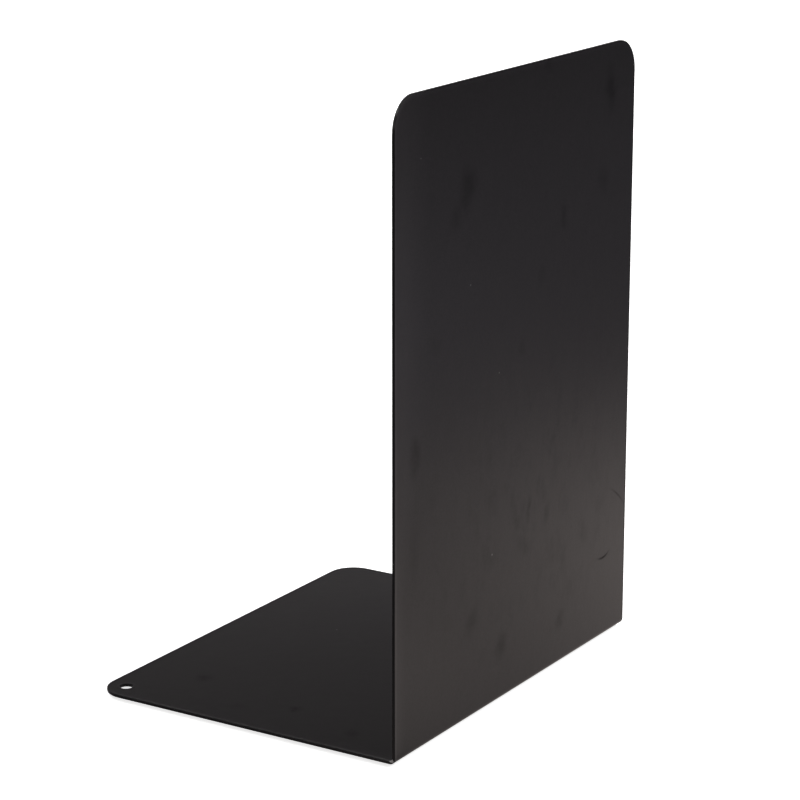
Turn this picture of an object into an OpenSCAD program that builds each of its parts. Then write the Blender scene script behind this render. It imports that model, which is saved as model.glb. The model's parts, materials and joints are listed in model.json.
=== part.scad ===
// Book end: one sheet of steel bent into an L, standing on four anti-slip pads.
// The origin is on the surface that the pads rest on, under the middle of the plate.
// The base runs towards -X, the upright's outer face looks along +X, and the bend runs along Y.

/* [Plate] */
// Width of the plate, along the bend
plate_w = 175; // [110:1:260]
// Height of the upright, from the underside of the base to the top edge
upright_h = 240; // [120:1:360]
// Depth of the base, from the upright's outer face to the free edge
base_d = 135; // [90:1:220]
// Thickness of the steel
sheet_t = 1.2; // [0.8:0.1:3]
// Radius on the inside of the bend
bend_inner_r = 1.2; // [0.5:0.1:6]

/* [Rounded corners] */
// Radius of the two top corners of the upright
upright_corner_r = 12.5; // [2:0.5:30]
// Radius of the two free corners of the base
base_corner_r = 11; // [2:0.5:14]

/* [Hanging hole] */
// Diameter of the hole through the base
hole_d = 5; // [2.5:0.1:8]
// Distance from the base's free edge to the middle of the hole
hole_from_free_edge = 8; // [7:0.5:30]
// Distance from the plate's left side edge to the middle of the hole
hole_from_side = 9; // [8:0.5:30]

/* [Anti-slip pads] */
// Diameter of a pad
pad_d = 12; // [6:0.5:20]
// Thickness of a pad, which is the gap under the base
pad_t = 1; // [0.5:0.1:3]
// Width and height of the bevel round a pad's lower rim
pad_bevel = 0.25; // [0.1:0.05:0.4]
// Flat steel left between the bend and the heel pads
heel_gap = 4; // [0:0.5:20]
// Steel left between the side edges and the pads
side_gap = 8; // [3:0.5:30]
// Steel left between the hole and the toe pads, measured along the depth
hole_gap = 4; // [1:0.5:20]

/* [Hidden] */

$fn = 64;
coat_black = [0.14, 0.14, 0.14];
rubber_grey = [0.28, 0.28, 0.29];

// How far a cutting shape runs past what it cuts
overcut = 1;

bend_outer_r = bend_inner_r + sheet_t;
face_x = base_d / 2;
free_x = -base_d / 2;
side_y = plate_w / 2;
under_z = pad_t;
top_z = under_z + upright_h;
bend_axis_x = face_x - bend_outer_r;
bend_axis_z = under_z + bend_outer_r;

hole_x = free_x + hole_from_free_edge;
hole_y = -side_y + hole_from_side;

heel_pad_x = bend_axis_x - heel_gap - pad_d / 2;
toe_pad_x = hole_x + hole_d / 2 + hole_gap + pad_d / 2;
pad_y = side_y - side_gap - pad_d / 2;

// The L seen from the side: depth along the first axis, height along the second
module side_profile() {
    translate([free_x, under_z])
        square([bend_axis_x - free_x, sheet_t]);
    translate([face_x - sheet_t, bend_axis_z])
        square([sheet_t, top_z - bend_axis_z]);
    translate([bend_axis_x, bend_axis_z])
        intersection() {
            difference() {
                circle(bend_outer_r);
                circle(bend_inner_r);
            }
            translate([0, -bend_outer_r])
                square(bend_outer_r);
        }
}

// What is cut off a square corner at the origin, whose sheet lies at negative x and y
module corner_offcut(radius) {
    translate([-radius, -radius])
        difference() {
            square(radius + overcut);
            circle(radius);
        }
}

// Both free corners of the base
module base_offcuts() {
    for (corner = [[side_y, 90], [-side_y, 180]])
        translate([free_x, corner[0], under_z - overcut])
            linear_extrude(sheet_t + 2 * overcut)
                rotate(corner[1])
                    corner_offcut(base_corner_r);
}

// Both top corners of the upright
module upright_offcuts() {
    for (corner = [[side_y, 0], [-side_y, 90]])
        translate([face_x - sheet_t - overcut, corner[0], top_z])
            rotate([90, 0, 90])
                linear_extrude(sheet_t + 2 * overcut)
                    rotate(corner[1])
                        corner_offcut(upright_corner_r);
}

module hanging_hole() {
    translate([hole_x, hole_y, under_z - overcut])
        cylinder(h = sheet_t + 2 * overcut, d = hole_d);
}

module bent_plate() {
    color(coat_black)
        difference() {
            rotate([90, 0, 0])
                linear_extrude(plate_w, center = true)
                    side_profile();
            base_offcuts();
            upright_offcuts();
            hanging_hole();
        }
}

// A round pad with a bevelled lower rim, stuck under the base
module antislip_pad(x, y) {
    pad_r = pad_d / 2;
    color(rubber_grey)
        translate([x, y, 0])
            rotate_extrude()
                polygon([
                    [0, 0],
                    [pad_r - pad_bevel, 0],
                    [pad_r, pad_bevel],
                    [pad_r, pad_t],
                    [0, pad_t]
                ]);
}

bent_plate();
antislip_pad(heel_pad_x, -pad_y);  // pad_heel_left
antislip_pad(heel_pad_x, pad_y);  // pad_heel_right
antislip_pad(toe_pad_x, -pad_y);  // pad_toe_left
antislip_pad(toe_pad_x, pad_y);  // pad_toe_right
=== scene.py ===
"""Sheet steel book end: a powder-coated plate bent into an L, on four anti-slip pads.

The frame gives the plate, its hole and the pads their sizes and places. The plate is laid out
flat, as the blank is before it is bent, and then folded over the bend line. The base runs
towards -X, the upright's outer face looks along +X, and the bend runs along Y.
"""

import json
import math

import bmesh
import bpy
from bpy.props import FloatProperty, FloatVectorProperty, IntProperty, PointerProperty
from mathutils import Matrix, Vector
from mathutils.geometry import delaunay_2d_cdt


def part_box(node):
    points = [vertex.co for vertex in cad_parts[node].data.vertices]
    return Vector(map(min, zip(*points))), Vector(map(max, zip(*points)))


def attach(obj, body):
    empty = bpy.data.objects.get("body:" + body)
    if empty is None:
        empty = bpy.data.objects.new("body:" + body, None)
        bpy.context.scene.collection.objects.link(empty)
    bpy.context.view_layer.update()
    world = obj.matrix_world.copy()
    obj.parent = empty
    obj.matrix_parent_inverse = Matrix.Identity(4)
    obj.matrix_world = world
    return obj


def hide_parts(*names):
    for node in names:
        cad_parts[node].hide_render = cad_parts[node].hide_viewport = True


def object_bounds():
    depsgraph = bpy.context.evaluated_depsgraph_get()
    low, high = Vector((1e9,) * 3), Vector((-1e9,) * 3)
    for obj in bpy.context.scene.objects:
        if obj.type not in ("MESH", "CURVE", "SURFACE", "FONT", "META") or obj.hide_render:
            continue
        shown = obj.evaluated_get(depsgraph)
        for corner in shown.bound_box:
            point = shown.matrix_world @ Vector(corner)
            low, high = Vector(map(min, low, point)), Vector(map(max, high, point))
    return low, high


bl_info = {
    "name": "Sheet Steel Book End",
    "version": (1, 0, 0),
    "blender": (4, 5, 0),
    "location": "3D View > Sidebar > Book End",
    "description": "Builds a powder-coated sheet steel book end with its anti-slip pads",
    "category": "Add Mesh",
}

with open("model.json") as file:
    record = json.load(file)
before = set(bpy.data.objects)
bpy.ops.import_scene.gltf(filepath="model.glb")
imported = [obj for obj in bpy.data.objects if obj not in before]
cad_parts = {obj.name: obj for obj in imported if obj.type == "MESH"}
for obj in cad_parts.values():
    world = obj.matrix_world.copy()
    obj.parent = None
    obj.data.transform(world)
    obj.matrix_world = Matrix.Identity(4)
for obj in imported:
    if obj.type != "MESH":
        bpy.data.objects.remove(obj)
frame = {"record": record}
CAD_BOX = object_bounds()

PAD_NODES = ("pad_heel_left", "pad_heel_right", "pad_toe_left", "pad_toe_right")
MOUNTS = {mount["name"]: mount for mount in frame["record"]["mounts"]}

PLATE_LOW, PLATE_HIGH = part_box("bent_plate")
HOLE_CENTRE = Vector(MOUNTS["hanging_hole"]["pos_m"])
HOLE_RADIUS = MOUNTS["hanging_hole"]["dims"]["r_mm"] / 1000
SHEET_THICKNESS = MOUNTS["book_floor"]["pos_m"][2] - PLATE_LOW.z

MM = 0.001
FULL_TURN = 2 * math.pi
QUARTER_TURN = math.pi / 2


# ---------------------------------------------------------------- settings


class PlateSettings(bpy.types.PropertyGroup):
    """Sizes of the bent plate that its outer box doesn't give"""

    thickness: FloatProperty(
        name="Sheet thickness",
        description="Thickness of the coated sheet",
        default=SHEET_THICKNESS,
        min=0.5 * MM,
        unit="LENGTH",
        precision=5,
    )
    bend_inner_radius: FloatProperty(
        name="Bend radius",
        description="Radius on the inside of the bend",
        default=1.2 * MM,
        min=0.3 * MM,
        unit="LENGTH",
        precision=5,
    )
    upright_corner_radius: FloatProperty(
        name="Upright corners",
        description="Radius of the two top corners of the upright",
        default=12.5 * MM,
        min=3 * MM,
        unit="LENGTH",
        precision=5,
    )
    base_corner_radius: FloatProperty(
        name="Base corners",
        description="Radius of the two free corners of the base",
        default=11 * MM,
        min=3 * MM,
        unit="LENGTH",
        precision=5,
    )
    arris_radius: FloatProperty(
        name="Arris",
        description="Radius that the coating leaves on every cut edge",
        default=0.20 * MM,
        min=0.05 * MM,
        unit="LENGTH",
        precision=6,
    )
    coat_build: FloatProperty(
        name="Edge build-up",
        description="How much thicker the coating is along the edges than in the field",
        default=0.03 * MM,
        min=0,
        unit="LENGTH",
        precision=6,
    )
    coat_band: FloatProperty(
        name="Edge band",
        description="Width of the band along the edges where the coating is thicker",
        default=1.5 * MM,
        min=0.6 * MM,
        unit="LENGTH",
        precision=5,
    )
    mesh_step: FloatProperty(
        name="Mesh step",
        description="Size of the faces in the flat field of the plate",
        default=8 * MM,
        min=2 * MM,
        unit="LENGTH",
        precision=5,
    )


class CoatSettings(bpy.types.PropertyGroup):
    """Finish of the powder coating and of the steel under it"""

    colour: FloatVectorProperty(
        name="Coat colour",
        description="Colour of the powder coating",
        subtype="COLOR",
        size=3,
        min=0,
        max=1,
        default=(0.0115, 0.0110, 0.0112),
    )
    roughness: FloatProperty(
        name="Roughness",
        description="Roughness of the clean satin surface",
        subtype="FACTOR",
        default=0.295,
        min=0,
        max=1,
    )
    peel_size: FloatProperty(
        name="Orange peel size",
        description="Distance between the low waves in the cured coating",
        default=1.4 * MM,
        min=0.2 * MM,
        unit="LENGTH",
        precision=5,
    )
    peel_height: FloatProperty(
        name="Orange peel height",
        description="Height of those waves",
        default=0.004 * MM,
        min=0,
        unit="LENGTH",
        precision=6,
    )
    wave_size: FloatProperty(
        name="Ripple size",
        description="Distance between the faint ripples in the rolled sheet",
        default=6 * MM,
        min=1 * MM,
        unit="LENGTH",
        precision=5,
    )
    wave_height: FloatProperty(
        name="Ripple height",
        description="Height of those ripples",
        default=0.035 * MM,
        min=0,
        unit="LENGTH",
        precision=6,
    )
    handling: FloatProperty(
        name="Handling marks",
        description="Strength of the finger smudges and rub marks",
        subtype="FACTOR",
        default=1.0,
        min=0,
        max=1,
    )
    # The pale steel colour of the nick also paints a glint at the end of the bend
    steel_and_glint_colour: FloatVectorProperty(
        name="Steel colour",
        description="Colour of the bare steel in the small nick at the end of the bend",
        subtype="COLOR",
        size=3,
        min=0,
        max=1,
        default=(0.72, 0.72, 0.70),
    )


class PadSettings(bpy.types.PropertyGroup):
    """Shape and finish of the anti-slip pads"""

    rim_radius: FloatProperty(
        name="Rim radius",
        description="Radius of the moulded lower rim",
        default=0.25 * MM,
        min=0.05 * MM,
        unit="LENGTH",
        precision=6,
    )
    groove_count: IntProperty(
        name="Grooves",
        description="Number of ring grooves moulded into the underside",
        default=3,
        min=1,
        max=6,
    )
    groove_depth: FloatProperty(
        name="Groove depth",
        description="Depth of each ring groove",
        default=0.2 * MM,
        min=0,
        unit="LENGTH",
        precision=6,
    )
    rubber_colour: FloatVectorProperty(
        name="Rubber colour",
        description="Colour of the pads",
        subtype="COLOR",
        size=3,
        min=0,
        max=1,
        default=(0.055, 0.055, 0.058),
    )
    roughness: FloatProperty(
        name="Roughness",
        description="Roughness of the moulded rubber",
        subtype="FACTOR",
        default=0.72,
        min=0,
        max=1,
    )


class StageSettings(bpy.types.PropertyGroup):
    """Camera, floor and lights"""

    azimuth: FloatProperty(
        name="Azimuth",
        description="Direction that the camera looks from, 0 looking along +Y",
        default=math.radians(32.0),
        subtype="ANGLE",
    )
    elevation: FloatProperty(
        name="Elevation",
        description="Height of the camera above the horizon, as an angle",
        default=math.radians(15.4),
        subtype="ANGLE",
    )
    distance: FloatProperty(
        name="Distance",
        description="Distance from the camera to the point it aims at",
        default=1.066,
        min=0.3,
        unit="LENGTH",
    )
    aim_right: FloatProperty(
        name="Aim right",
        description="How far to the right of the object's middle the camera aims",
        default=12.7 * MM,
        unit="LENGTH",
        precision=5,
    )
    aim_up: FloatProperty(
        name="Aim up",
        description="How far above the object's middle the camera aims",
        default=-13.8 * MM,
        unit="LENGTH",
        precision=5,
    )
    lens: FloatProperty(
        name="Lens",
        description="Focal length of the camera, in millimetres",
        default=125.0,
        min=20,
    )
    floor_colour: FloatVectorProperty(
        name="Floor colour",
        description="Colour of the plain pale floor",
        subtype="COLOR",
        size=3,
        min=0,
        max=1,
        default=(0.90, 0.90, 0.895),
    )
    softbox_power: FloatProperty(
        name="Softbox power",
        description="Power of the large softbox overhead, in watts",
        default=21.0,
        min=0,
    )
    side_power: FloatProperty(
        name="Side softbox power",
        description="Power of the softbox that faces the upright's outer side, in watts",
        default=22.0,
        min=0,
    )
    back_power: FloatProperty(
        name="Back softbox power",
        description="Power of the softbox that faces the upright's inner side, in watts",
        default=24.0,
        min=0,
    )
    front_power: FloatProperty(
        name="Front light power",
        description="Power of the small light at the front left, in watts",
        default=1.2,
        min=0,
    )


# ---------------------------------------------------------------- meshes


class FoldedSheet:
    """Maps the flat blank to the folded plate.

    A place on the blank is s along the sheet from the base's free edge, y across it, and
    n through it, from 0 on the face that ends up outside and underneath.
    """

    def __init__(self, low, high, thickness, bend_inner_radius):
        self.outer_radius = bend_inner_radius + thickness
        self.free_x = low.x
        self.bend_x = high.x - self.outer_radius
        self.bend_z = low.z + self.outer_radius
        self.bend_start = self.bend_x - self.free_x
        self.bend_end = self.bend_start + self.outer_radius * QUARTER_TURN
        self.length = self.bend_end + high.z - self.bend_z

    def turn(self, s):
        """How far the sheet has turned up at s, as an angle."""
        into_bend = (s - self.bend_start) / (self.bend_end - self.bend_start)
        return QUARTER_TURN * min(max(into_bend, 0.0), 1.0)

    def place(self, s, y, n):
        """The point in space of a place on the blank."""
        angle = self.turn(s)
        reach = self.outer_radius - n
        x = self.bend_x + reach * math.sin(angle) + min(s - self.bend_start, 0.0)
        z = self.bend_z - reach * math.cos(angle) + max(s - self.bend_end, 0.0)
        return Vector((x, y, z))

    def direction(self, s, along, across, through):
        """A direction on the blank at s, turned into space."""
        angle = self.turn(s)
        x = along * math.cos(angle) - through * math.sin(angle)
        z = along * math.sin(angle) + through * math.cos(angle)
        return Vector((x, across, z)).normalized()


def spaced(start, end, step):
    """Evenly spaced values from start to end, no further apart than step."""
    count = max(1, math.ceil((end - start) / step))
    return [start + (end - start) * i / count for i in range(count + 1)]


def smooth_step(t):
    return t * t * (3 - 2 * t)


def edge_profile(thickness, arris, build, band):
    """The section of a cut edge, from the upper field round to the lower one.

    Each station is how far it lies inside the cut, its height through the sheet, and its
    normal as outward and upward parts. The coating stands a little proud in a band along
    the edge, and rounds the arris over.
    """
    ramp_steps = 5
    arris_steps = 5
    full_build_share = 0.45
    ramp_end = band * full_build_share
    upper = []
    for i in range(ramp_steps + 1):
        t = i / ramp_steps
        inset = band + (ramp_end - band) * t
        slope = build * 6 * t * (1 - t) / (band - ramp_end)
        height = thickness - build * (1 - smooth_step(t))
        upper.append((inset, height, -slope, 1.0))
    for i in range(arris_steps + 1):
        angle = QUARTER_TURN * i / arris_steps
        outward, upward = math.sin(angle), math.cos(angle)
        upper.append((arris * (1 - outward), thickness - arris * (1 - upward), outward, upward))
    lower = [(inset, thickness - height, out, -up) for inset, height, out, up in reversed(upper)]
    return upper + lower


def blank_outline(sheet, plate, half_width):
    """Points round the flat blank, each with its outward direction, anticlockwise.

    The points along the two sides stand opposite each other, so rows of faces run straight
    across the bend.
    """
    corner_steps = 14
    bend_steps = 12
    step = plate.mesh_step
    bend_step = (sheet.bend_end - sheet.bend_start) / bend_steps
    base_r, top_r = plate.base_corner_radius, plate.upright_corner_radius
    side = spaced(base_r, sheet.bend_start, step)
    side += spaced(sheet.bend_start, sheet.bend_end, bend_step)[1:]
    side += spaced(sheet.bend_end, sheet.length - top_r, step)[1:]
    free_edge = spaced(half_width - base_r, base_r - half_width, -step)
    top_edge = spaced(top_r - half_width, half_width - top_r, step)

    def corner(centre_s, centre_y, radius, first_angle):
        points = []
        for i in range(1, corner_steps):
            angle = first_angle + QUARTER_TURN * i / corner_steps
            out_s, out_y = math.cos(angle), math.sin(angle)
            points.append((centre_s + radius * out_s, centre_y + radius * out_y, out_s, out_y))
        return points

    outline = [(s, -half_width, 0, -1) for s in side]
    outline += corner(sheet.length - top_r, top_r - half_width, top_r, -QUARTER_TURN)
    outline += [(sheet.length, y, 1, 0) for y in top_edge]
    outline += corner(sheet.length - top_r, half_width - top_r, top_r, 0)
    outline += [(s, half_width, 0, 1) for s in reversed(side)]
    outline += corner(base_r, half_width - base_r, base_r, QUARTER_TURN)
    outline += [(0, y, -1, 0) for y in free_edge]
    outline += corner(base_r, base_r - half_width, base_r, 2 * QUARTER_TURN)
    return outline, side


def loop_at(outline, inset):
    """The outline drawn in by a distance, as places on the blank."""
    return [(s - out_s * inset, y - out_y * inset) for s, y, out_s, out_y in outline]


def hole_outline(centre, radius):
    """Points round the hanging hole, each with the direction out of the steel, clockwise."""
    steps = 48
    points = []
    for i in range(steps):
        angle = -FULL_TURN * i / steps
        out_s, out_y = -math.cos(angle), -math.sin(angle)
        points.append((centre[0] - radius * out_s, centre[1] - radius * out_y, out_s, out_y))
    return points


def field_triangles(outer, hole, rows, columns, clearance):
    """Triangles that fill the flat field between the outer loop and the hole's loop."""
    whole_hull = 0
    same_point = 1e-7
    low_s, high_s = min(s for s, _ in outer), max(s for s, _ in outer)
    low_y, high_y = min(y for _, y in outer), max(y for _, y in outer)
    centre = sum((Vector(p) for p in hole), Vector((0, 0))) / len(hole)
    reach = (Vector(hole[0]) - centre).length

    def inside(point, margin):
        """True if the point is in the field, at least margin from its corners and the hole."""
        s, y = point
        if (Vector(point) - centre).length < reach + margin:
            return False
        if not (low_s + margin < s < high_s - margin and low_y + margin < y < high_y - margin):
            return False
        nearest = min(range(len(outer)), key=lambda i: (outer[i][0] - s) ** 2 + (outer[i][1] - y) ** 2)
        before, after = Vector(outer[nearest - 1]), Vector(outer[(nearest + 1) % len(outer)])
        tangent = (after - before).normalized()
        offset = Vector(point) - Vector(outer[nearest])
        return tangent.x * offset.y - tangent.y * offset.x > margin

    points = [Vector(p) for p in outer] + [Vector(p) for p in hole]
    edges = [(i, (i + 1) % len(outer)) for i in range(len(outer))]
    edges += [(len(outer) + i, len(outer) + (i + 1) % len(hole)) for i in range(len(hole))]
    points += [Vector((s, y)) for s in rows for y in columns if inside((s, y), clearance)]
    found, _, faces, *_ = delaunay_2d_cdt(points, edges, [], whole_hull, same_point)
    kept = []
    for face in faces:
        middle = sum((found[i] for i in face), Vector((0, 0))) / len(face)
        if inside(middle, 0.0):
            kept.append(face)
    return found, kept


def plate_mesh(plate):
    """The coated plate: fields, edge bands, arrises and cut edges, folded over the bend."""
    half_width = (PLATE_HIGH.y - PLATE_LOW.y) / 2
    middle_y = (PLATE_HIGH.y + PLATE_LOW.y) / 2
    sheet = FoldedSheet(PLATE_LOW, PLATE_HIGH, plate.thickness, plate.bend_inner_radius)
    outline, rows = blank_outline(sheet, plate, half_width)
    hole = hole_outline((HOLE_CENTRE.x - sheet.free_x, HOLE_CENTRE.y - middle_y), HOLE_RADIUS)
    profile = edge_profile(plate.thickness, plate.arris_radius, plate.coat_build, plate.coat_band)

    mesh = bpy.data.meshes.new("coated_plate")
    bm = bmesh.new()
    edge_layer = bm.verts.layers.float.new("edge")
    normals = {}

    def add_vertex(s, y, n, normal, edge):
        vertex = bm.verts.new(sheet.place(s, y + middle_y, n))
        vertex[edge_layer] = edge
        normals[vertex] = sheet.direction(s, *normal)
        return vertex

    def add_rim(points):
        """Loops of faces round one cut edge. Returns its outermost loops on both fields."""
        loops = []
        for inset, height, outward, upward in profile:
            # How near the cut edge a point is; the shader uses it for wear and for a painted highlight
            # along the edges
            edge_nearness = 1.0 - min(inset / plate.coat_band, 1.0)
            loop = []
            for (s, y), (_, _, out_s, out_y) in zip(loop_at(points, inset), points):
                normal = (out_s * outward, out_y * outward, upward)
                loop.append(add_vertex(s, y, height, normal, edge_nearness))
            loops.append(loop)
        for upper, lower in zip(loops, loops[1:]):
            for i, first in enumerate(upper):
                after = (i + 1) % len(upper)
                bm.faces.new((first, lower[i], lower[after], upper[after]))
        return loops[0], loops[-1]

    outer_top, outer_under = add_rim(outline)
    hole_top, hole_under = add_rim(hole)

    outer_field = loop_at(outline, plate.coat_band)
    hole_field = loop_at(hole, plate.coat_band)
    last_column = half_width - plate.upright_corner_radius
    columns = spaced(-last_column, last_column, plate.mesh_step)
    rows = spaced(plate.base_corner_radius / 2, plate.base_corner_radius, plate.mesh_step)[:-1] + rows
    rows += [sheet.length - plate.upright_corner_radius / 2]
    found, triangles = field_triangles(outer_field, hole_field, rows, columns, plate.coat_band)
    fields = (
        (outer_top + hole_top, plate.thickness - plate.coat_build, 1),
        (outer_under + hole_under, plate.coat_build, -1),
    )
    for rim, height, upward in fields:
        vertices = list(rim)
        for s, y in found[len(rim):]:
            vertices.append(add_vertex(s, y, height, (0, 0, upward), 0.0))
        for triangle in triangles:
            corners = [vertices[i] for i in triangle]
            bm.faces.new(corners if upward > 0 else reversed(corners))

    bm.normal_update()
    bmesh.ops.join_triangles(
        bm, faces=[f for f in bm.faces if len(f.verts) == 3],
        angle_face_threshold=0.02, angle_shape_threshold=0.9,
    )
    bm.verts.index_update()
    custom = [Vector()] * len(bm.verts)
    for vertex, normal in normals.items():
        custom[vertex.index] = normal
    for face in bm.faces:
        face.smooth = True
    bm.to_mesh(mesh)
    bm.free()
    mesh.normals_split_custom_set_from_vertices(custom)
    return mesh


def pad_profile(radius, height, pads):
    """The section of a moulded pad, from the middle of its underside to its glued top.

    Each point is a radius and a height. The underside has ring grooves, the lower rim is
    round, and the side bulges a little between the rim and the top.
    """
    groove_steps = 6
    rim_steps = 5
    side_steps = 4
    groove_share = 0.45
    bulge_share = 0.008
    flat_radius = radius - pads.rim_radius
    pitch = flat_radius / (pads.groove_count + 0.5)
    groove_width = pitch * groove_share
    bulge = radius * bulge_share

    points = [(0.0, 0.0)]
    for ring in range(pads.groove_count):
        middle = pitch * (ring + 0.75)
        for i in range(groove_steps + 1):
            t = i / groove_steps
            depth = pads.groove_depth * math.sin(math.pi * t)
            points.append((middle + groove_width * (t - 0.5), depth))
    rim_centre = flat_radius - bulge
    for i in range(rim_steps + 1):
        angle = QUARTER_TURN * i / rim_steps
        reach = pads.rim_radius * math.sin(angle)
        points.append((rim_centre + reach, pads.rim_radius * (1 - math.cos(angle))))
    side_height = height - pads.rim_radius
    for i in range(1, side_steps + 1):
        t = i / side_steps
        bow = bulge * math.sin(math.pi * t)
        points.append((radius - bulge + bow, pads.rim_radius + side_height * t))
    points.append((0.0, height))
    return points


def turned_mesh(name, profile, centre):
    """A closed solid of revolution about Z, made of faces between rings."""
    steps = 72
    sharp_angle = math.radians(40)
    bm = bmesh.new()
    rings = []
    for radius, height in profile:
        if radius == 0:
            rings.append([bm.verts.new(centre + Vector((0, 0, height)))])
            continue
        ring = []
        for i in range(steps):
            angle = FULL_TURN * i / steps
            offset = Vector((radius * math.cos(angle), radius * math.sin(angle), height))
            ring.append(bm.verts.new(centre + offset))
        rings.append(ring)
    for lower, upper in zip(rings, rings[1:]):
        for i in range(steps):
            corners = [lower[i % len(lower)], lower[(i + 1) % len(lower)]]
            corners += [upper[(i + 1) % len(upper)], upper[i % len(upper)]]
            bm.faces.new(list(dict.fromkeys(corners)))
    bmesh.ops.recalc_face_normals(bm, faces=bm.faces)
    for face in bm.faces:
        face.smooth = True
    for edge in bm.edges:
        edge.smooth = edge.calc_face_angle() < sharp_angle
    mesh = bpy.data.meshes.new(name)
    bm.to_mesh(mesh)
    bm.free()
    return mesh


def add_object(name, mesh, material):
    """Links a new object to the scene, with its one material."""
    made = bpy.data.objects.new(name, mesh)
    bpy.context.scene.collection.objects.link(made)
    mesh.materials.append(material)
    return made


# ---------------------------------------------------------------- materials


def new_tree(material):
    """The material's node tree, emptied, and its output node."""
    material.use_nodes = True
    tree = material.node_tree
    tree.nodes.clear()
    return tree, tree.nodes.new("ShaderNodeOutputMaterial")


def fill(tree, socket, value):
    """Links an input to another node's output, or sets its value."""
    if isinstance(value, bpy.types.NodeSocket):
        tree.links.new(value, socket)
    else:
        socket.default_value = value


def add_node(tree, kind, inputs=None, **settings):
    """Adds a node, sets it up, and fills its inputs with values or with other sockets."""
    node = tree.nodes.new(kind)
    for name, value in settings.items():
        setattr(node, name, value)
    for key, value in (inputs or {}).items():
        fill(tree, node.inputs[key], value)
    return node


def maths(tree, operation, *values):
    """A Math node's result."""
    return add_node(tree, "ShaderNodeMath", dict(enumerate(values)), operation=operation).outputs[0]


def chained(tree, operation, *values):
    """Any number of values, combined one after another by the same Math operation."""
    result = values[0]
    for value in values[1:]:
        result = maths(tree, operation, result, value)
    return result


def product(tree, *values):
    return chained(tree, "MULTIPLY", *values)


def total(tree, *values):
    return chained(tree, "ADD", *values)


def most_of(tree, *values):
    return chained(tree, "MAXIMUM", *values)


def vector_maths(tree, operation, *values):
    """A Vector Math node's vector."""
    node = add_node(tree, "ShaderNodeVectorMath", dict(enumerate(values)), operation=operation)
    return node.outputs["Vector"]


def length_of(tree, vector):
    return add_node(tree, "ShaderNodeVectorMath", {0: vector}, operation="LENGTH").outputs["Value"]


def noise(tree, coords, size, detail=2.0, roughness=0.5):
    """Noise whose features are about size metres apart."""
    inputs = {"Vector": coords, "Scale": 1 / size, "Detail": detail, "Roughness": roughness}
    return add_node(tree, "ShaderNodeTexNoise", inputs).outputs["Fac"]


def remap(tree, value, from_min, from_max, to_min=0.0, to_max=1.0, smooth=False):
    """A value moved from one range to another, and kept inside the new one."""
    inputs = {"Value": value, "From Min": from_min, "From Max": from_max}
    inputs.update({"To Min": to_min, "To Max": to_max})
    kind = "SMOOTHSTEP" if smooth else "LINEAR"
    return add_node(tree, "ShaderNodeMapRange", inputs, interpolation_type=kind).outputs["Result"]


def blend_colour(tree, factor, first, second):
    """Two colours mixed by a factor."""
    mix = add_node(tree, "ShaderNodeMix", data_type="RGBA")
    for key, value in (("Factor", factor), ("A", first), ("B", second)):
        fill(tree, next(s for s in mix.inputs if s.name == key and s.enabled), value)
    return next(s for s in mix.outputs if s.enabled)


def bump(tree, height, distance, normal=None):
    """A Bump node's normal, on top of another bump's."""
    inputs = {"Height": height, "Distance": distance, "Strength": 1.0}
    if normal is not None:
        inputs["Normal"] = normal
    return add_node(tree, "ShaderNodeBump", inputs).outputs["Normal"]


def tone(colour, factor=1.0):
    """A colour made lighter or darker by a factor, as a socket takes it."""
    return (*(min(part * factor, 1.0) for part in colour), 1.0)


def spot(tree, coords, centre, radii):
    """A soft-edged oval spot, 1 in its middle and 0 outside."""
    offset = vector_maths(tree, "SUBTRACT", coords, centre)
    scaled = vector_maths(tree, "DIVIDE", offset, radii)
    return remap(tree, length_of(tree, scaled), 1.0, 0.0, smooth=True)


# Finger smudges on the upright's outer face, in millimetres: from the left side edge, up
# from the underside, half width and half height, lean in degrees, and strength
UPRIGHT_SMUDGES = (
    (49, 202, 9.0, 11.0, 35, 1.0),
    (41, 193, 7.0, 8.0, 25, 0.55),
    (156, 222, 6.0, 14.0, 0, 0.8),
    (119, 179, 3.5, 8.0, 0, 0.7),
    (151, 188, 8.0, 7.0, 0, 0.4),
    (106, 238, 5.0, 3.5, 0, 0.5),
    (102, 159, 4.0, 6.0, 10, 0.4),
    (88, 134, 5.0, 5.0, 0, 0.5),
    (27, 148, 8.0, 6.0, 0, 0.35),
    (13, 111, 6.0, 12.0, 5, 0.9),
    (113, 94, 4.0, 4.5, 0, 0.5),
    (95, 69, 3.0, 10.0, 10, 0.9),
    (109, 64, 3.0, 8.0, 15, 0.6),
    (89, 58, 6.0, 5.0, 20, 0.5),
    (54, 37, 7.0, 10.0, 12, 0.7),
    (76, 22, 6.5, 9.0, 28, 0.9),
    (121, 18, 5.0, 7.0, 15, 0.8),
    (13, 74, 5.0, 17.0, 0, 0.4),
    (70, 82, 5.0, 9.0, 10, 0.4),
    (174, 52, 1.5, 2.5, 0, 0.9),
    (174, 40, 1.5, 1.5, 0, 0.7),
)
# Greasy spots on top of the base, in millimetres: from the free edge, in from the left side
# edge, half depth and half width, and strength
BASE_SPOTS = (
    (28, 32, 5.0, 5.5, 0.8),
    (55, 15, 5.0, 5.0, 0.4),
    (76, 24, 3.5, 4.0, 1.0),
    (107, 15, 3.5, 4.5, 0.7),
)
# Rubbed lines on the upright's outer face, in millimetres: the centre of the arc that each
# follows, its radius, half the line's width, the middle of the stretch that shows, half
# that stretch's width and height, and strength. Places are given as for the smudges
UPRIGHT_RUBS = (
    ((156.0, 44.6), 11.0, 0.8, (157, 34), (7.0, 5.0), 1.0),
    ((143.6, 25.4), 40.0, 0.8, (168, 57), (11.0, 10.0), 0.5),
)
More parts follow.
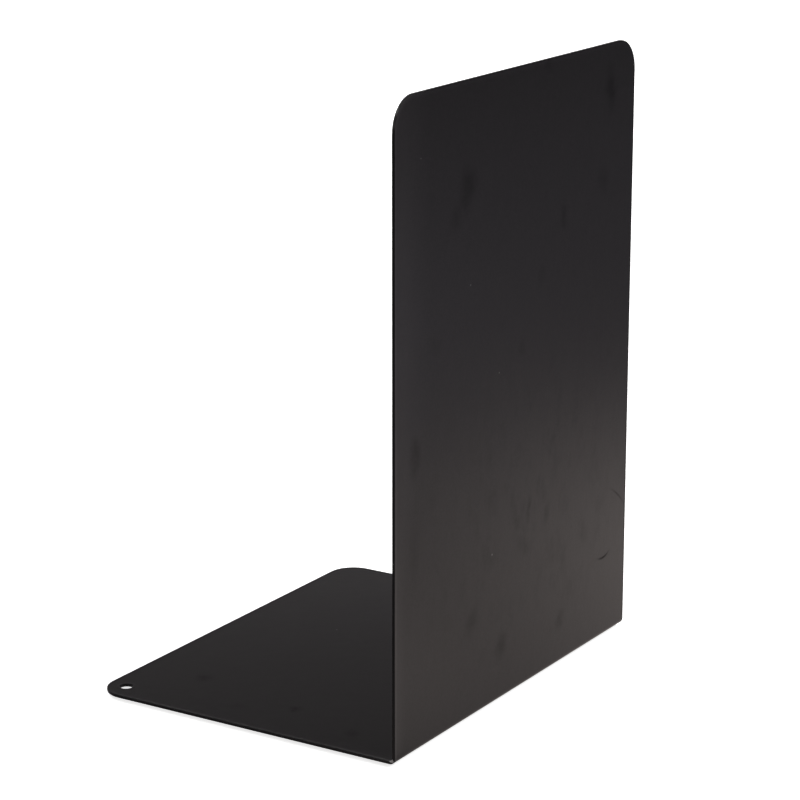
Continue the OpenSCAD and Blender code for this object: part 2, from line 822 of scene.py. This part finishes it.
# Pin-prick flecks in the coat, as bright dots: a place as for the marks above, and a radius
UPRIGHT_FLECKS = ((51, 166, 0.5), (72, 129, 0.5), (68, 60, 0.6), (17, 217, 0.4))
BASE_FLECKS = ((42, 104, 0.6),)
# Marks reach this far through the sheet from their own face, so that the other face has none
MARK_DEPTH = 0.9 * MM
# Streaks and ripples run up the upright, so their patterns are stretched along Z
UPWARD_GRAIN = (1.0, 1.0, 0.55)


def upright_place(right, up):
    """A place on the upright's outer face, from millimetres along and up."""
    return Vector((PLATE_HIGH.x, PLATE_LOW.y + right * MM, PLATE_LOW.z + up * MM))


def base_place(inwards, right):
    """A place on top of the base, from millimetres in from its free and left side edges."""
    return Vector((PLATE_LOW.x + inwards * MM, PLATE_LOW.y + right * MM, PLATE_LOW.z + SHEET_THICKNESS))


def turned_spot(tree, coords, centre, radii, lean):
    """A soft-edged oval spot on a face that looks along X, leaning by an angle in degrees."""
    inputs = {"Vector": coords, "Center": centre, "Axis": (1.0, 0.0, 0.0), "Angle": math.radians(lean)}
    turned = add_node(tree, "ShaderNodeVectorRotate", inputs, rotation_type="AXIS_ANGLE").outputs[0]
    return spot(tree, turned, centre, radii)


def wandering(tree, coords, size, reach):
    """Coordinates that wander by up to about reach, so that outlines come out uneven."""
    inputs = {"Vector": coords, "Scale": 1 / size, "Detail": 2.0}
    drift = add_node(tree, "ShaderNodeTexNoise", inputs).outputs["Color"]
    drift = vector_maths(tree, "SUBTRACT", drift, (0.5, 0.5, 0.5))
    return vector_maths(tree, "ADD", coords, vector_maths(tree, "MULTIPLY", drift, reach))


def finger_smudges(tree, coords):
    """Dull smudges on the upright's outer face, and faint streaks on both of its faces."""
    streak_strength = 0.75
    handled_radii = Vector((MARK_DEPTH, 125 * MM, 95 * MM))
    handled_places = (
        upright_place(105, 70),
        upright_place(90, 110) - Vector((SHEET_THICKNESS, 0.0, 0.0)),
    )
    bent = wandering(tree, coords, 11 * MM, (0.0, 8 * MM, 10 * MM))
    spots = []
    for right, up, half_width, half_height, lean, strength in UPRIGHT_SMUDGES:
        radii = Vector((MARK_DEPTH, half_width * MM, half_height * MM))
        oval = turned_spot(tree, bent, upright_place(right, up), radii, lean)
        spots.append(product(tree, oval, strength))
    grain = remap(tree, noise(tree, coords, 2.5 * MM, 3.0, 0.6), 0.35, 0.65, 0.65, 1.0)
    upward = vector_maths(tree, "MULTIPLY", coords, UPWARD_GRAIN)
    streaks = remap(tree, noise(tree, upward, 7 * MM, 4.0, 0.65), 0.46, 0.78, smooth=True)
    for middle in handled_places:
        handled = spot(tree, coords, middle, handled_radii)
        spots.append(product(tree, streaks, handled, streak_strength))
    return product(tree, most_of(tree, *spots), grain)


def greasy_spots(tree, coords):
    """Darker, slightly dull greasy spots on top of the base."""
    bent = wandering(tree, coords, 4 * MM, (6 * MM, 6 * MM, 0.0))
    spots = []
    for inwards, right, half_depth, half_width, strength in BASE_SPOTS:
        radii = Vector((half_depth * MM, half_width * MM, MARK_DEPTH))
        oval = spot(tree, bent, base_place(inwards, right), radii)
        spots.append(product(tree, oval, strength))
    return most_of(tree, *spots)


def bright_flecks(tree, coords):
    """Single specks in the coat that catch the light."""
    places = [(upright_place(right, up), size) for right, up, size in UPRIGHT_FLECKS]
    places += [(base_place(inwards, right), size) for inwards, right, size in BASE_FLECKS]
    dots = [spot(tree, coords, place, Vector((size * MM,) * 3)) for place, size in places]
    return most_of(tree, *dots)


def rubbed_lines(tree, coords):
    """Short curved rubs near the upright's right side edge."""
    lines = []
    for centre, radius, half_width, middle, half_stretch, strength in UPRIGHT_RUBS:
        away = length_of(tree, vector_maths(tree, "SUBTRACT", coords, upright_place(*centre)))
        off_line = maths(tree, "ABSOLUTE", maths(tree, "SUBTRACT", away, radius * MM))
        line = remap(tree, off_line, half_width * MM, 0.0, smooth=True)
        half_right, half_up = half_stretch
        radii = Vector((MARK_DEPTH, half_right * MM, half_up * MM))
        stretch = spot(tree, coords, upright_place(*middle), radii)
        lines.append(product(tree, line, stretch, strength))
    return most_of(tree, *lines)


def bend_nick_and_painted_glint(tree, coords):
    """Bare steel in a tiny nick, where the arris meets the inside of the bend, pale enough to paint a
    glint there.
    """
    inset = 1.5 * MM
    unevenness = 0.25 * MM
    outer_reach = 0.95 * MM
    full_reach = 0.65 * MM
    centre = Vector((PLATE_HIGH.x - inset, PLATE_LOW.y, PLATE_LOW.z + inset))
    ragged = remap(tree, noise(tree, coords, 0.5 * MM), 0.3, 0.7, -unevenness, unevenness)
    reach = length_of(tree, vector_maths(tree, "SUBTRACT", coords, centre))
    return remap(tree, total(tree, reach, ragged), outer_reach, full_reach, smooth=True)


def edge_wear_and_painted_highlight(tree, coords, edge):
    """Paler coat by the left side edges, most of all low down by the bend: rubbed wear and a painted
    highlight.

    It is a product of factors that follow how far along, right and up a point is.
    """
    place = add_node(tree, "ShaderNodeSeparateXYZ", {"Vector": coords}).outputs
    field_share = 0.25

    def by_height(start, end, low_share, high_share, smooth=False):
        start_z, end_z = PLATE_LOW.z + start * MM, PLATE_LOW.z + end * MM
        return remap(tree, place["Z"], start_z, end_z, low_share, high_share, smooth)

    face = remap(tree, place["Y"], PLATE_LOW.y + 0.15 * MM, PLATE_LOW.y + 0.35 * MM)
    reach = by_height(60, 120, 8 * MM, 26 * MM)
    border = remap(tree, place["Y"], total(tree, reach, PLATE_LOW.y), PLATE_LOW.y, smooth=True)
    low = by_height(230, 180, 0.7, 1.0, smooth=True)
    foot = by_height(30, 5, 1.0, 1.5)
    standing = by_height(2.2, 4, 0.2, 1.0)
    by_bend = remap(tree, place["X"], PLATE_HIGH.x - 32 * MM, PLATE_HIGH.x - 6 * MM, 0.2, 0.9)
    patchy = remap(tree, noise(tree, coords, 9 * MM, 3.0, 0.6), 0.3, 0.7, 0.7, 1.0)
    edge_or_field = most_of(tree, edge, product(tree, standing, field_share))
    flat_or_bend = most_of(tree, standing, by_bend)
    return product(tree, border, edge_or_field, face, low, foot, flat_or_bend, patchy)


def powder_coat_material(coat):
    """Satin black powder coating, with orange peel, faint ripples, wear with a painted edge highlight,
    handling marks and a nick with a painted glint.
    """
    material = bpy.data.materials.new("satin_black_powder_coat")
    tree, output = new_tree(material)
    coords = add_node(tree, "ShaderNodeTexCoord").outputs["Object"]
    edge = add_node(tree, "ShaderNodeAttribute", attribute_name="edge").outputs["Fac"]

    smudges = product(tree, finger_smudges(tree, coords), coat.handling)
    grease = product(tree, greasy_spots(tree, coords), coat.handling)
    scratch = product(tree, rubbed_lines(tree, coords), coat.handling)
    flecks = product(tree, bright_flecks(tree, coords), coat.handling)
    nick_and_glint = bend_nick_and_painted_glint(tree, coords)
    grain = remap(tree, noise(tree, coords, 0.7 * MM, 2.0, 0.6), 0.3, 0.7)

    thick, thin = tone(coat.colour, 0.9), tone(coat.colour, 1.7)
    worn_and_lit, greasy = tone(coat.colour, 7.0), tone(coat.colour, 0.2)
    fleck_grey = (0.22, 0.22, 0.22, 1.0)
    colour = blend_colour(tree, grain, thick, thin)
    # Paler coat along the left side edges: partly rubbed wear, partly a painted highlight there
    colour = blend_colour(tree, edge_wear_and_painted_highlight(tree, coords, edge), colour, worn_and_lit)
    colour = blend_colour(tree, most_of(tree, smudges, grease, scratch), colour, greasy)
    colour = blend_colour(tree, flecks, colour, fleck_grey)
    # Pale bare steel in the nick, which also paints a glint at the end of the bend
    colour = blend_colour(tree, nick_and_glint, colour, tone(coat.steel_and_glint_colour))

    cloud = noise(tree, coords, 45 * MM, 3.0, 0.55)
    cloud_depth = 0.015
    glossiest, dullest = coat.roughness - cloud_depth, coat.roughness + cloud_depth
    roughness = remap(tree, cloud, 0.3, 0.7, glossiest, dullest)
    for mark, roughening in ((smudges, 0.16), (grease, 0.08), (scratch, 0.45), (nick_and_glint, 0.20)):
        roughness = total(tree, roughness, product(tree, mark, roughening))

    upward = vector_maths(tree, "MULTIPLY", coords, UPWARD_GRAIN)
    wave = noise(tree, upward, coat.wave_size, 2.0, 0.5)
    peel = noise(tree, coords, coat.peel_size, 1.0, 0.4)
    settle = noise(tree, coords, coat.peel_size * 0.22, 1.0, 0.5)
    normal = bump(tree, wave, coat.wave_height)
    normal = bump(tree, peel, coat.peel_height, normal)
    normal = bump(tree, settle, coat.peel_height * 0.15, normal)

    inputs = {"Base Color": colour, "Roughness": roughness, "Normal": normal, "IOR": 1.5}
    inputs["Metallic"] = product(tree, nick_and_glint, 0.2)
    shader = add_node(tree, "ShaderNodeBsdfPrincipled", inputs)
    tree.links.new(shader.outputs[0], output.inputs["Surface"])
    return material


def rubber_material(pads):
    """Matte moulded rubber, with a fine sparked grain and a little dust."""
    material = bpy.data.materials.new("moulded_pad_rubber")
    tree, output = new_tree(material)
    coords = add_node(tree, "ShaderNodeTexCoord").outputs["Object"]
    grain = noise(tree, coords, 0.18 * MM, 3.0, 0.6)
    speckle = remap(tree, grain, 0.35, 0.65)
    dust = remap(tree, noise(tree, coords, 2.2 * MM, 4.0, 0.65), 0.55, 0.8, smooth=True)
    speckled = blend_colour(tree, speckle, tone(pads.rubber_colour, 0.8), tone(pads.rubber_colour))
    colour = blend_colour(tree, product(tree, dust, 0.5), speckled, tone(pads.rubber_colour, 2.0))
    roughness = remap(tree, dust, 0.0, 1.0, pads.roughness, min(pads.roughness + 0.18, 1.0))
    normal = bump(tree, grain, 0.02 * MM)
    inputs = {"Base Color": colour, "Roughness": roughness, "Normal": normal, "IOR": 1.5}
    shader = add_node(tree, "ShaderNodeBsdfPrincipled", inputs)
    tree.links.new(shader.outputs[0], output.inputs["Surface"])
    return material


def floor_material(colour):
    """A plain pale floor, lit from within so that only soft shadows show.

    It is clear from below, so that the underside of the object can be looked at.
    """
    material = bpy.data.materials.new("pale_floor")
    tree, output = new_tree(material)
    coords = add_node(tree, "ShaderNodeTexCoord").outputs["Object"]
    tooth = noise(tree, coords, 3 * MM, 2.0)
    shade = blend_colour(tree, tooth, tone(colour, 0.99), tone(colour))
    strength = remap(tree, length_of(tree, coords), 0.6, 2.4, 0.86, 1.08, smooth=True)
    inputs = {"Base Color": shade, "Roughness": 0.9, "Specular IOR Level": 0.0}
    inputs.update({"Emission Color": tone(colour), "Emission Strength": strength})
    inputs["Normal"] = bump(tree, tooth, 0.02 * MM)
    paper = add_node(tree, "ShaderNodeBsdfPrincipled", inputs)
    clear = add_node(tree, "ShaderNodeBsdfTransparent")
    below = add_node(tree, "ShaderNodeNewGeometry").outputs["Backfacing"]
    mixed = add_node(tree, "ShaderNodeMixShader", {0: below, 1: paper.outputs[0], 2: clear.outputs[0]})
    tree.links.new(mixed.outputs[0], output.inputs["Surface"])
    return material


def light_pool_material():
    """The lit table and the floor beyond it, as soft round glows that the camera doesn't see."""
    warm_white = (1.13, 1.0, 0.94, 1.0)
    cool_white = (1.08, 1.0, 1.13, 1.0)
    material = bpy.data.materials.new("table_glow")
    tree, output = new_tree(material)
    coords = add_node(tree, "ShaderNodeTexCoord").outputs["Object"]

    def glow(x, y, radius, strength):
        """A glow that is strongest over a place on the floor and fades out with distance."""
        reach = length_of(tree, vector_maths(tree, "SUBTRACT", coords, (x, y, 0.0)))
        ratio = maths(tree, "POWER", maths(tree, "DIVIDE", reach, radius), 2.0)
        return product(tree, maths(tree, "POWER", total(tree, ratio, 1.0), -2.0), strength)

    def fade(direction, start, end):
        """A factor that goes from 0 to 1 as the place moves along a direction."""
        inputs = {0: coords, 1: direction}
        along = add_node(tree, "ShaderNodeVectorMath", inputs, operation="DOT_PRODUCT").outputs["Value"]
        return remap(tree, along, start, end, smooth=True)

    table_edge = fade((1.0, 0.13, 0.0), 0.305, 0.297)
    front_shade = fade((0.0, 1.0, 0.0), -0.10, -0.06)
    table = product(tree, glow(-0.06, 0.27, 0.23, 1.6), table_edge, front_shade)
    table_corner = glow(0.21, -0.08, 0.09, 1.5)
    floor_right = glow(0.71, 0.31, 0.24, 1.6)
    floor_behind = glow(0.54, 1.23, 1.0, 0.14)
    floor_left = glow(-0.60, -0.22, 0.26, 1.4)
    near = total(tree, table, table_corner)
    far = total(tree, floor_right, floor_behind, floor_left)
    warm = add_node(tree, "ShaderNodeEmission", {"Color": warm_white, "Strength": near})
    cool = add_node(tree, "ShaderNodeEmission", {"Color": cool_white, "Strength": far})
    both = add_node(tree, "ShaderNodeAddShader", {0: warm.outputs[0], 1: cool.outputs[0]})
    tree.links.new(both.outputs[0], output.inputs["Surface"])
    return material


# ---------------------------------------------------------------- stage


PLATE_MIDDLE = (0.0, 0.0, 0.1)
# Each softbox: its name, its place, the point it faces, its size, and whether it is reflected
SOFTBOXES = (
    ("softbox_overhead", (-0.3, 0.6, 2.2), (-0.3, 0.6, 0.0), 3.0, False),
    ("softbox_side", (1.6, 0.9, 1.4), PLATE_MIDDLE, 1.2, False),
    ("softbox_back", (-1.6, 0.7, 1.2), PLATE_MIDDLE, 1.2, False),
    ("softbox_front", (-0.75, -0.55, 1.2), PLATE_MIDDLE, 0.35, True),
)


def add_disc(name, radius, height, material):
    """A flat round sheet on the stage, under the object."""
    bm = bmesh.new()
    bmesh.ops.create_circle(bm, cap_ends=True, segments=96, radius=radius)
    bmesh.ops.translate(bm, verts=bm.verts, vec=(0, 0, height))
    mesh = bpy.data.meshes.new(name)
    bm.to_mesh(mesh)
    bm.free()
    disc = add_object(name, mesh, material)
    return disc


def add_softbox(name, place, target, size, power, reflected):
    """A square area light that faces a target, and that reflections show or leave out."""
    light = bpy.data.lights.new(name, "AREA")
    light.shape = "SQUARE"
    light.size = size
    light.energy = power
    lamp = bpy.data.objects.new(name, light)
    lamp.location = place
    lamp.rotation_euler = (Vector(target) - Vector(place)).to_track_quat("-Z", "Y").to_euler()
    lamp.visible_glossy = reflected
    bpy.context.scene.collection.objects.link(lamp)


def set_world():
    """White to look at, and for reflections a dark room with two pale walls."""
    world = bpy.data.worlds.new("studio")
    bpy.context.scene.world = world
    world.use_nodes = True
    tree = world.node_tree
    tree.nodes.clear()
    direction = add_node(tree, "ShaderNodeTexCoord").outputs["Generated"]
    parts = add_node(tree, "ShaderNodeSeparateXYZ", {"Vector": direction}).outputs
    room_white = (1.08, 1.0, 1.03, 1.0)
    sweep_strength = 1.10
    front_strength = 0.25

    def along(axis, start, end):
        """A factor that goes from 0 to 1 as the direction turns along an axis."""
        return remap(tree, parts[axis], start, end, smooth=True)

    def risen(start, end):
        """The same, from one angle above the horizon to another, in degrees."""
        return along("Z", math.sin(math.radians(start)), math.sin(math.radians(end)))

    sweep = product(tree, risen(9, 13), risen(17.5, 11.5), along("X", -0.10, -0.35), sweep_strength)
    front = product(tree, along("Y", -0.25, -0.75), risen(60, 5), front_strength)
    strength = product(tree, total(tree, sweep, front), risen(0, 4))
    room = add_node(tree, "ShaderNodeBackground", {"Color": room_white, "Strength": strength})
    backdrop = add_node(tree, "ShaderNodeBackground", {"Color": (1.0, 1.0, 1.0, 1.0), "Strength": 1.0})
    seen = add_node(tree, "ShaderNodeLightPath").outputs["Is Camera Ray"]
    mixed = add_node(tree, "ShaderNodeMixShader", {0: seen, 1: room.outputs[0], 2: backdrop.outputs[0]})
    output = add_node(tree, "ShaderNodeOutputWorld")
    tree.links.new(mixed.outputs[0], output.inputs["Surface"])


def add_camera(stage):
    """The camera, placed by its angles and its distance from the point it aims at."""
    middle = (CAD_BOX[0] + CAD_BOX[1]) / 2
    azimuth, elevation = stage.azimuth, stage.elevation
    back = Vector((
        math.sin(azimuth) * math.cos(elevation),
        -math.cos(azimuth) * math.cos(elevation),
        math.sin(elevation),
    ))
    right = Vector((math.cos(azimuth), math.sin(azimuth), 0.0))
    up = back.cross(right)
    aim = middle + right * stage.aim_right + up * stage.aim_up
    data = bpy.data.cameras.new("camera")
    data.lens = stage.lens
    data.sensor_width = 36.0
    camera = bpy.data.objects.new("camera", data)
    facing = Matrix((right, up, back)).transposed().to_4x4()
    camera.matrix_world = Matrix.Translation(aim + back * stage.distance) @ facing
    bpy.context.scene.collection.objects.link(camera)
    bpy.context.scene.camera = camera


# ---------------------------------------------------------------- operators


class BOOKEND_OT_make_plate(bpy.types.Operator):
    """Make the powder-coated plate from its blank, folded over the bend line"""

    bl_idname = "bookend.make_plate"
    bl_label = "Make Plate"

    def execute(self, context):
        scene = context.scene
        mesh = plate_mesh(scene.bookend_plate)
        plate = add_object("folded_plate", mesh, powder_coat_material(scene.bookend_coat))
        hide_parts("bent_plate")
        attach(plate, "root")
        return {"FINISHED"}


class BOOKEND_OT_make_pads(bpy.types.Operator):
    """Make the moulded anti-slip pads under the base"""

    bl_idname = "bookend.make_pads"
    bl_label = "Make Anti-Slip Pads"

    def execute(self, context):
        pads = context.scene.bookend_pads
        rubber = rubber_material(pads)
        for node in PAD_NODES:
            low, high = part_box(node)
            centre = Vector(((low.x + high.x) / 2, (low.y + high.y) / 2, low.z))
            profile = pad_profile((high.x - low.x) / 2, high.z - low.z, pads)
            name = "moulded_" + node
            pad = add_object(name, turned_mesh(name, profile, centre), rubber)
            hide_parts(node)
            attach(pad, "root")
        return {"FINISHED"}


class BOOKEND_OT_set_stage(bpy.types.Operator):
    """Set up the pale floor, the soft light and the camera"""

    bl_idname = "bookend.set_stage"
    bl_label = "Set Stage"

    def execute(self, context):
        stage = context.scene.bookend_stage
        floor_radius = 30.0
        floor_height = -0.1 * MM
        pool_height = -1 * MM
        floor = add_disc("floor", floor_radius, floor_height, floor_material(stage.floor_colour))
        floor.visible_glossy = False
        floor.visible_diffuse = False
        pool = add_disc("light_pool", floor_radius, pool_height, light_pool_material())
        pool.visible_camera = False
        pool.visible_shadow = False
        powers = (stage.softbox_power, stage.side_power, stage.back_power, stage.front_power)
        for softbox, power in zip(SOFTBOXES, powers):
            name, place, target, size, reflected = softbox
            add_softbox(name, place, target, size, power, reflected)
        set_world()
        add_camera(stage)
        context.scene.view_settings.view_transform = "Standard"
        return {"FINISHED"}


class BOOKEND_PT_panel(bpy.types.Panel):
    """Settings and steps of the book end"""

    bl_label = "Book End"
    bl_space_type = "VIEW_3D"
    bl_region_type = "UI"
    bl_category = "Book End"

    def draw(self, context):
        scene = context.scene
        steps = (
            (BOOKEND_OT_make_plate, scene.bookend_plate, scene.bookend_coat),
            (BOOKEND_OT_make_pads, scene.bookend_pads),
            (BOOKEND_OT_set_stage, scene.bookend_stage),
        )
        for operator, *groups in steps:
            box = self.layout.box()
            for group in groups:
                for name in type(group).__annotations__:
                    box.prop(group, name)
            box.operator(operator.bl_idname)


SETTINGS = {
    "bookend_plate": PlateSettings,
    "bookend_coat": CoatSettings,
    "bookend_pads": PadSettings,
    "bookend_stage": StageSettings,
}
OPERATORS = (BOOKEND_OT_make_plate, BOOKEND_OT_make_pads, BOOKEND_OT_set_stage)
CLASSES = (*SETTINGS.values(), *OPERATORS, BOOKEND_PT_panel)


def register():
    for cls in CLASSES:
        bpy.utils.register_class(cls)
    for name, group in SETTINGS.items():
        setattr(bpy.types.Scene, name, PointerProperty(type=group))


def unregister():
    for name in SETTINGS:
        delattr(bpy.types.Scene, name)
    for cls in reversed(CLASSES):
        bpy.utils.unregister_class(cls)


def main():
    register()
    bpy.ops.bookend.make_plate()
    bpy.ops.bookend.make_pads()
    bpy.ops.bookend.set_stage()


if __name__ == "__main__":
    main()
